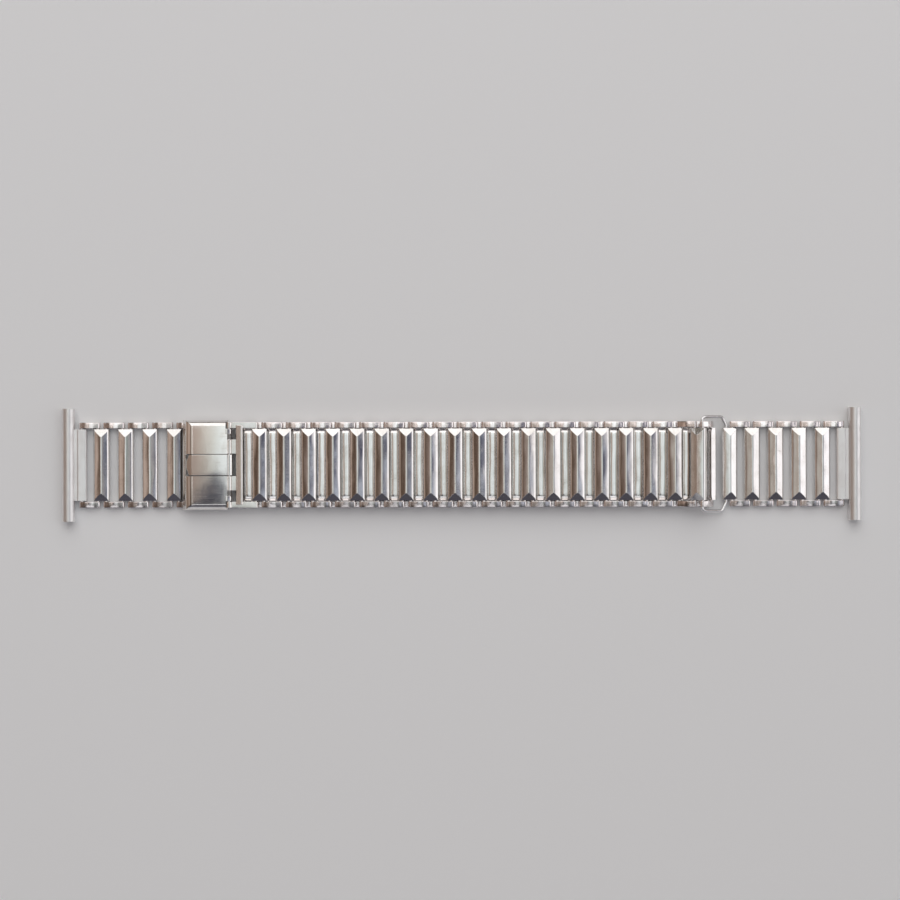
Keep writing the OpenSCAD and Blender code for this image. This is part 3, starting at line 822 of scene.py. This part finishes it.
def end_link():
    """The sleeve on its cross wire, with the fingers and arms that are rolled round the hinge wire."""
    low = hinge_z - knuckle_radius
    rest = math.degrees(math.asin((low + band_height - hinge_z) / knuckle_radius))
    roll = arc((hinge_x, hinge_z), knuckle_radius, rest, 270.0, 18)
    finger = outline(roll + [(sleeve_x, low), (sleeve_x, low + band_height)])
    wire_end = arc((link_wire.x, link_wire.z), plate_round, -80.0, 80.0, 10)
    arm = outline(roll + [(link_wire.x - 0.1, link_wire.z - plate_round)] + wire_end)
    parts = [bent_sleeve(), across_rod(wire_radius, 2 * plate_place, link_wire.x, link_wire.z)]
    for shape, width, place in ((finger, finger_out - finger_in, (finger_in + finger_out) / 2),
                                (arm, plate_thick, plate_place)):
        for side in (-1, 1):
            part = stretch_across(shape.copy(), width, side * place)
            soften(part, crisp_edges(part, 60.0), 0.06)
            parts.append(part)
        shape.free()
    return join(*parts)


clasp_finish = steel("clasp_finish", bright=(0.90, 0.88, 0.86), aged=(0.66, 0.62, 0.58), gloss=0.08,
                     worn=0.07, lines=(0.3, 3.0, 3.0), wave=(0.3, 0.25, 0.3), depth=4e-5)
settle(end_link(), "end_link_sleeve", clasp_finish, "link_00", "clasp_steel", "end_link")

# The table.
# A plain pale table top, matt, as the floor of a product picture. The bracelet lies on it.
table = bmesh.new()
bmesh.ops.create_circle(table, cap_ends=True, segments=96, radius=3.0)
bmesh.ops.translate(table, verts=table.verts, vec=(0.0, 0.0, cad_box[0].z))
table_mesh = bpy.data.meshes.new("table")
table.to_mesh(table_mesh)
table.free()
table_paint = bpy.data.materials.new("pale_table")
table_paint.use_nodes = True
table_shader = table_paint.node_tree.nodes["Principled BSDF"]
table_shader.inputs["Base Color"].default_value = (0.94, 0.94, 0.95, 1.0)
table_shader.inputs["Roughness"].default_value = 0.9
table_mesh.materials.append(table_paint)
table_top = bpy.data.objects.new("table", table_mesh)
bpy.context.scene.collection.objects.link(table_top)

# The room.
# A soft studio round the table, which the polished faces mirror. Its light runs in strips from
# left to right, so that faces that lean differently show different tones.
room_strips = [
    (-90, (0.40, 0.33, 0.28)), (-80, (0.26, 0.19, 0.15)), (-64, (0.27, 0.19, 0.15)),
    (-57, (0.46, 0.36, 0.30)), (-50, (0.52, 0.41, 0.35)), (-46.5, (0.34, 0.25, 0.20)),
    (-44.5, (0.10, 0.062, 0.042)), (-40, (0.085, 0.055, 0.038)), (-37.5, (0.19, 0.135, 0.11)),
    (-34, (0.27, 0.20, 0.17)), (-32, (0.40, 0.35, 0.31)), (-28, (0.50, 0.47, 0.43)),
    (-20, (0.32, 0.24, 0.19)), (-18.5, (1.55, 1.50, 1.46)), (-16.5, (0.32, 0.25, 0.22)),
    (-12, (0.36, 0.28, 0.235)), (-7.5, (0.60, 0.58, 0.53)), (-4.5, (0.66, 0.72, 0.71)),
    (-1, (1.00, 1.04, 1.06)), (4, (0.64, 0.69, 0.67)), (9, (1.02, 1.07, 1.10)),
    (16, (0.54, 0.59, 0.56)), (22, (0.20, 0.23, 0.22)), (25.5, (0.44, 0.42, 0.41)),
    (28.5, (0.30, 0.29, 0.31)), (31, (0.05, 0.05, 0.08)), (36.5, (0.07, 0.075, 0.12)),
    (38.5, (0.30, 0.29, 0.33)), (41.5, (0.78, 0.76, 0.79)), (45, (1.22, 1.19, 1.21)),
    (88, (1.2, 1.2, 1.2))]
pane_light = (0.50, 0.54, 0.62)
corner_dark = (0.06, 0.06, 0.085)
low_window_light = (1.05, 1.05, 1.08)
far_wall = (0.12, 0.10, 0.08)
near_wall_low = (0.46, 0.46, 0.48)
near_wall_high = (0.078, 0.075, 0.092)


def around(degrees):
    """A bearing from straight up, to the right, as the ramp counts it."""
    return (degrees + 180) / 360


def studio_light(sky):
    """The colour that the room shows in each direction."""
    east, north, height = sky.node("TexCoord", output=0).parts()
    south = north * -1.0
    bearing = sky.math("ARCTAN2", east, height) * (0.5 / math.pi) + 0.5
    stops = [(around(degrees), colour) for degrees, colour in room_strips]
    light = sky.node("ValToRGB", {"stops": stops}, Fac=bearing)
    # A bluish pane high on the right, from the middle of the room towards the near side.
    pane = bearing.inside(*map(around, (29.5, 31.5, 39.0, 42.5))) * south.between(0.003, 0.03)
    light = pane.blend(light, pane_light)
    # A dark corner on the near left, with a slanting edge.
    corner = (east - north * 0.957).between(-0.058, -0.038) * south.between(0.05, 0.075)
    light = (corner * (east * -1.0).between(0.035, 0.055)).blend(light, corner_dark)
    # The strips brighten towards the far side, and drop by half a step on the near side.
    light = light.scaled(north * 1.1 + 1.0 - south.between(0.165, 0.185) * 0.5)
    # A low bright window beyond that.
    low_window = south.between(0.23, 0.26) * bearing.inside(*map(around, (-30.0, -20.0, 15.0, 25.0)))
    light = low_window.blend(light, low_window_light)
    # The two walls. The near one is pale below and dark above.
    light = north.between(0.2, 0.34).blend(light, far_wall)
    near_wall = height.between(0.44, 0.54).blend(near_wall_low, near_wall_high)
    return south.between(0.34, 0.40).blend(light, near_wall)


room = bpy.data.worlds.new("studio")
room.use_nodes = True
bpy.context.scene.world = room
background = room.node_tree.nodes["Background"]
background.inputs["Strength"].default_value = 1.0
room.node_tree.links.new(studio_light(Signal(room.node_tree)).socket, background.inputs["Color"])

# The lamp.
# One large soft lamp above the far side of the table.
lamp_data = bpy.data.lights.new("soft_lamp", "AREA")
lamp_data.shape = "RECTANGLE"
lamp_data.size = 1.2
lamp_data.size_y = 0.85
lamp_data.energy = 3.7
lamp = bpy.data.objects.new("soft_lamp", lamp_data)
lamp.location = (0.0, 0.55, 0.6)
lamp.rotation_euler = (-lamp.location).to_track_quat("-Z", "Y").to_euler()
bpy.context.scene.collection.objects.link(lamp)

# The camera.
# It looks straight down from a distance that fits the picture's width at the bracelet's height.
lens = 85.0
view_width = 0.14297
view_mid = (-0.00184, 0.0023)
view_height = 0.002
view_turn = -0.13
camera_data = bpy.data.cameras.new("camera")
camera_data.lens = lens
camera_data.clip_start = 0.01
camera_data.clip_end = 20.0
camera = bpy.data.objects.new("camera", camera_data)
camera.location = (*view_mid, view_height + view_width * lens / camera_data.sensor_width)
camera.rotation_euler.z = math.radians(view_turn)
bpy.context.scene.collection.objects.link(camera)
bpy.context.scene.camera = camera
bpy.context.scene.view_settings.view_transform = "Standard"
